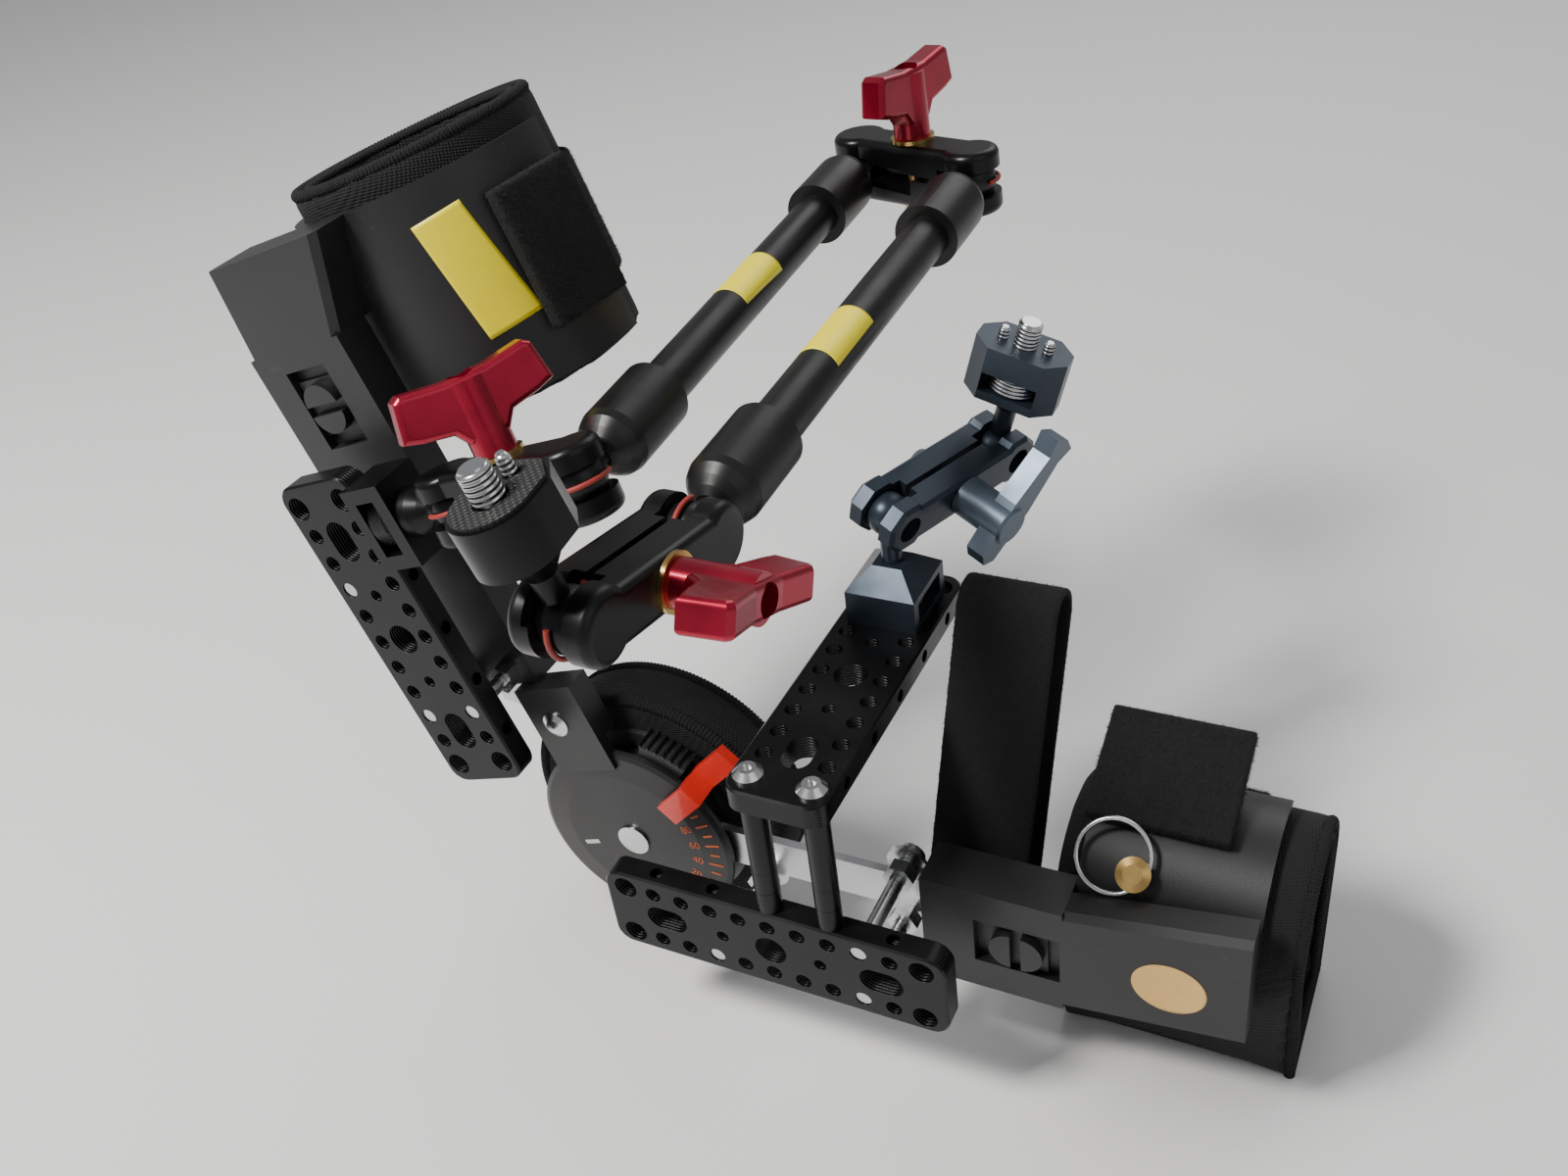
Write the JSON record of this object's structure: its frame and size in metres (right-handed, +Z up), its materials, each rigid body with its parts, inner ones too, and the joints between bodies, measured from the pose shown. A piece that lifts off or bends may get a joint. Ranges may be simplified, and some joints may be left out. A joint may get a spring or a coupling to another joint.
{
  "type": "cinema camera rig",
  "caption": "Elbow-brace support rig: two cuffs and a locking hinge carry drilled plates, a long double-tube ball arm with wing nuts and a short lever-clamped ball arm.",
  "frame": {"origin": "middle of the bounding box's underside, on the table", "axes": "+X along the forearm away from the elbow, +Y away from the plates' front faces, +Z up"},
  "size_m": [0.393, 0.3634, 0.3336],
  "materials": {
    "black_anodised": "satin black anodised",
    "zinc_steel": "bright zinc",
    "polished_steel": "polished",
    "brace_bar": "milled",
    "hinge_black": "moulded matt",
    "hinge_steel": "anodised",
    "cuff_black": "moulded matt",
    "liner_fabric": "knitted foam liner",
    "pile_fabric": "fuzzy strap",
    "red_anodised": "satin red anodised",
    "red_plastic": "gloss",
    "seal_rubber": "soft red rubber",
    "pad_rubber": "grid rubber",
    "brass_fitting": "polished brass",
    "blue_grey": "satin blue-grey anodised"
  },
  "bodies": {
    "forearm": {"forearm_plate": "black_anodised", "top_plate": "black_anodised", "posts": "black_anodised", "post_screws": "polished_steel", "forearm_bolts": "zinc_steel", "forearm_nuts": "zinc_steel", "forearm_bar": "brace_bar", "hinge_core": "hinge_black", "hinge_back": "hinge_steel", "hinge_rivets": "polished_steel", "hinge_pad": "liner_fabric", "small_base": "blue_grey"},
    "upper_arm": {"upper_arm_plate": "black_anodised", "upper_bolts": "zinc_steel", "upper_nuts": "zinc_steel", "upper_bar": "brace_bar", "upper_bar_cover": "hinge_black", "hinge_cover": "hinge_black", "tab_rivet": "polished_steel", "arm_base": "black_anodised"},
    "elbow_lock": {"lock_lever": "red_plastic"},
    "forearm_cuff": {"forearm_slider": "cuff_black", "forearm_cuff_shell": "cuff_black", "forearm_cuff_liner": "liner_fabric", "forearm_cuff_strap": "pile_fabric", "loop_strap": "pile_fabric", "ring_stud": "brass_fitting"},
    "forearm_button": {"forearm_button": "cuff_black"},
    "split_ring": {"split_ring": "polished_steel"},
    "upper_cuff": {"upper_slider": "cuff_black", "upper_cuff_shell": "cuff_black", "upper_cuff_liner": "liner_fabric", "upper_cuff_strap": "pile_fabric"},
    "upper_button": {"upper_button": "cuff_black"},
    "base_thumbwheel": {"base_thumbwheel": "black_anodised"},
    "lower_clamp": {"lower_jaws": "black_anodised", "lower_clamp_screw": "brass_fitting", "lower_seal_rings": "seal_rubber"},
    "lower_wing_nut": {"lower_wing_nut": "red_anodised"},
    "rear_tube": {"rear_tube": "black_anodised", "rear_tube_ends": "black_anodised"},
    "far_clamp": {"far_jaws": "black_anodised", "far_clamp_screw": "brass_fitting", "far_seal_rings": "seal_rubber"},
    "far_wing_nut": {"far_wing_nut": "red_anodised"},
    "front_tube": {"front_tube": "black_anodised", "front_tube_ends": "black_anodised"},
    "front_clamp": {"front_jaws": "black_anodised", "front_clamp_screw": "brass_fitting", "front_seal_rings": "seal_rubber"},
    "front_wing_nut": {"front_wing_nut": "red_anodised"},
    "arm_head": {"arm_head": "black_anodised", "head_pad": "pad_rubber", "head_screw": "polished_steel"},
    "small_thumbwheel": {"small_thumbwheel": "polished_steel"},
    "small_clamp": {"small_jaws": "blue_grey"},
    "small_lever": {"small_lever": "blue_grey"},
    "small_head": {"small_head": "blue_grey"},
    "small_head_screw": {"small_head_screw": "polished_steel"},
    "anti_twist_pins": {"anti_twist_pins": "polished_steel"}
  },
  "joints": [
    {"name": "elbow", "type": "hinge", "parent": "forearm", "child": "upper_arm", "pos_m": [-0.06148, -0.09518, 0.058], "axis": [0, -1, 0], "range_deg": [-4, 60]},
    {"name": "elbow_lock", "type": "slide", "parent": "forearm", "child": "elbow_lock", "axis": [0.682, 0, 0.7314], "range_m": [0, 0.004]},
    {"name": "forearm_reach", "type": "slide", "parent": "forearm", "child": "forearm_cuff", "axis": [1, 0, 0], "range_m": [0, 0.025]},
    {"name": "forearm_release", "type": "slide", "parent": "forearm_cuff", "child": "forearm_button", "axis": [1, 0, 0], "range_m": [0, 0.004], "stiffness_N_per_m": 400},
    {"name": "ring_swing", "type": "hinge", "parent": "forearm_cuff", "child": "split_ring", "pos_m": [0.13952, -0.04664, 0.09447], "axis": [0, -0.7071, 0.7071], "range_deg": [-40, 3]},
    {"name": "upper_reach", "type": "slide", "parent": "upper_arm", "child": "upper_cuff", "axis": [-0.3239, 0, 0.9461], "range_m": [0, 0.025]},
    {"name": "upper_release", "type": "slide", "parent": "upper_cuff", "child": "upper_button", "axis": [-0.3239, 0, 0.9461], "range_m": [0, 0.004], "stiffness_N_per_m": 400},
    {"name": "base_wheel_turn", "type": "hinge", "parent": "upper_arm", "child": "base_thumbwheel", "pos_m": [-0.12763, -0.07568, 0.21261], "axis": [0.9461, 0, 0.3239], "continuous": true},
    {"name": "arm_yaw", "type": "hinge", "parent": "upper_arm", "child": "lower_clamp", "pos_m": [-0.08931, -0.07568, 0.22573], "axis": [-0.3395, 0.102, 0.935], "range_deg": [-10, 18]},
    {"name": "lower_nut_turn", "type": "hinge", "parent": "lower_clamp", "child": "lower_wing_nut", "pos_m": [-0.0608, -0.07787, 0.23632], "axis": [-0.3395, 0.102, 0.935], "continuous": true},
    {"name": "rear_tube_yaw", "type": "hinge", "parent": "lower_clamp", "child": "rear_tube", "pos_m": [-0.03228, -0.08007, 0.24692], "axis": [-0.3395, 0.102, 0.935], "range_deg": [-20, 15]},
    {"name": "far_clamp_yaw", "type": "hinge", "parent": "rear_tube", "child": "far_clamp", "pos_m": [-0.03669, 0.16457, 0.25934], "axis": [-0.0599, 0.0226, 0.998], "range_deg": [-2, 25]},
    {"name": "far_nut_turn", "type": "hinge", "parent": "far_clamp", "child": "far_wing_nut", "pos_m": [-0.00821, 0.15384, 0.26129], "axis": [-0.0599, 0.0226, 0.998], "continuous": true},
    {"name": "front_tube_yaw", "type": "hinge", "parent": "far_clamp", "child": "front_tube", "pos_m": [0.02027, 0.1431, 0.26324], "axis": [-0.0599, 0.0226, 0.998], "range_deg": [-2, 25]},
    {"name": "front_clamp_pitch", "type": "hinge", "parent": "front_tube", "child": "front_clamp", "pos_m": [0.02027, -0.10154, 0.25001], "axis": [0.9998, -0.0216, 0.004], "range_deg": [-35, 35]},
    {"name": "front_nut_turn", "type": "hinge", "parent": "front_clamp", "child": "front_wing_nut", "pos_m": [0.0196, -0.13152, 0.25556], "axis": [0.9998, -0.0216, 0.004], "continuous": true},
    {"name": "head_pitch", "type": "hinge", "parent": "front_clamp", "child": "arm_head", "pos_m": [0.01893, -0.16151, 0.26112], "axis": [0.9998, -0.0216, 0.004], "range_deg": [-25, 35]},
    {"name": "small_wheel_turn", "type": "hinge", "parent": "forearm", "child": "small_thumbwheel", "pos_m": [0.03052, 0.01382, 0.1438], "axis": [0, 0, 1], "continuous": true},
    {"name": "small_arm_pitch", "type": "hinge", "parent": "forearm", "child": "small_clamp", "pos_m": [0.03052, 0.01382, 0.186], "axis": [0.9002, -0.3576, -0.2486], "range_deg": [-9, 25]},
    {"name": "lever_turn", "type": "hinge", "parent": "small_clamp", "child": "small_lever", "pos_m": [0.04159, 0.0417, 0.186], "axis": [0.9002, -0.3576, -0.2486], "range_deg": [-90, 90]},
    {"name": "small_head_pitch", "type": "hinge", "parent": "small_clamp", "child": "small_head", "pos_m": [0.05267, 0.06958, 0.186], "axis": [0.9002, -0.3576, -0.2486], "range_deg": [-35, 35]},
    {"name": "small_screw_turn", "type": "hinge", "parent": "small_head", "child": "small_head_screw", "pos_m": [0.05267, 0.06958, 0.186], "axis": [0.2779, 0, 0.9606], "continuous": true},
    {"name": "pins_press", "type": "slide", "parent": "small_head", "child": "anti_twist_pins", "axis": [-0.2779, 0, -0.9606], "range_m": [0, 0.002], "stiffness_N_per_m": 600}
  ]
}
